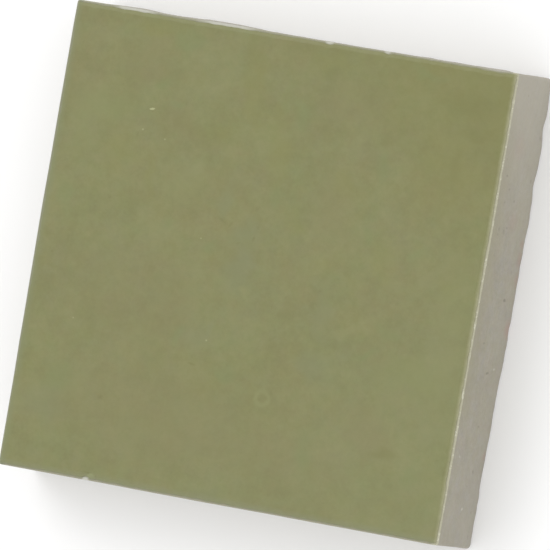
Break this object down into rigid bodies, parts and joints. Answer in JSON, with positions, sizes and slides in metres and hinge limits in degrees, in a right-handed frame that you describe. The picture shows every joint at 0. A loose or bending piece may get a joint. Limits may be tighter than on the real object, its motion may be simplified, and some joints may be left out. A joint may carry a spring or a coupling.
{
  "type": "square glazed ceramic tile",
  "caption": "Small square hand-pressed ceramic tile, satin olive-green glaze on a thick bare grey-beige clay body, lying face up.",
  "frame": {"origin": "centre of the tile's outline, in the plane of its unglazed back", "axes": "+Z out of the glazed face, up as the tile lies on its back; +X and +Y along the two sides of the face"},
  "size_m": [0.0506, 0.0506, 0.0113],
  "materials": {
    "fired_clay": "matte",
    "olive_glaze": "satin"
  },
  "bodies": {
    "root": {"clay_body": "fired_clay", "glaze_coat": "olive_glaze"}
  },
  "joints": []
}
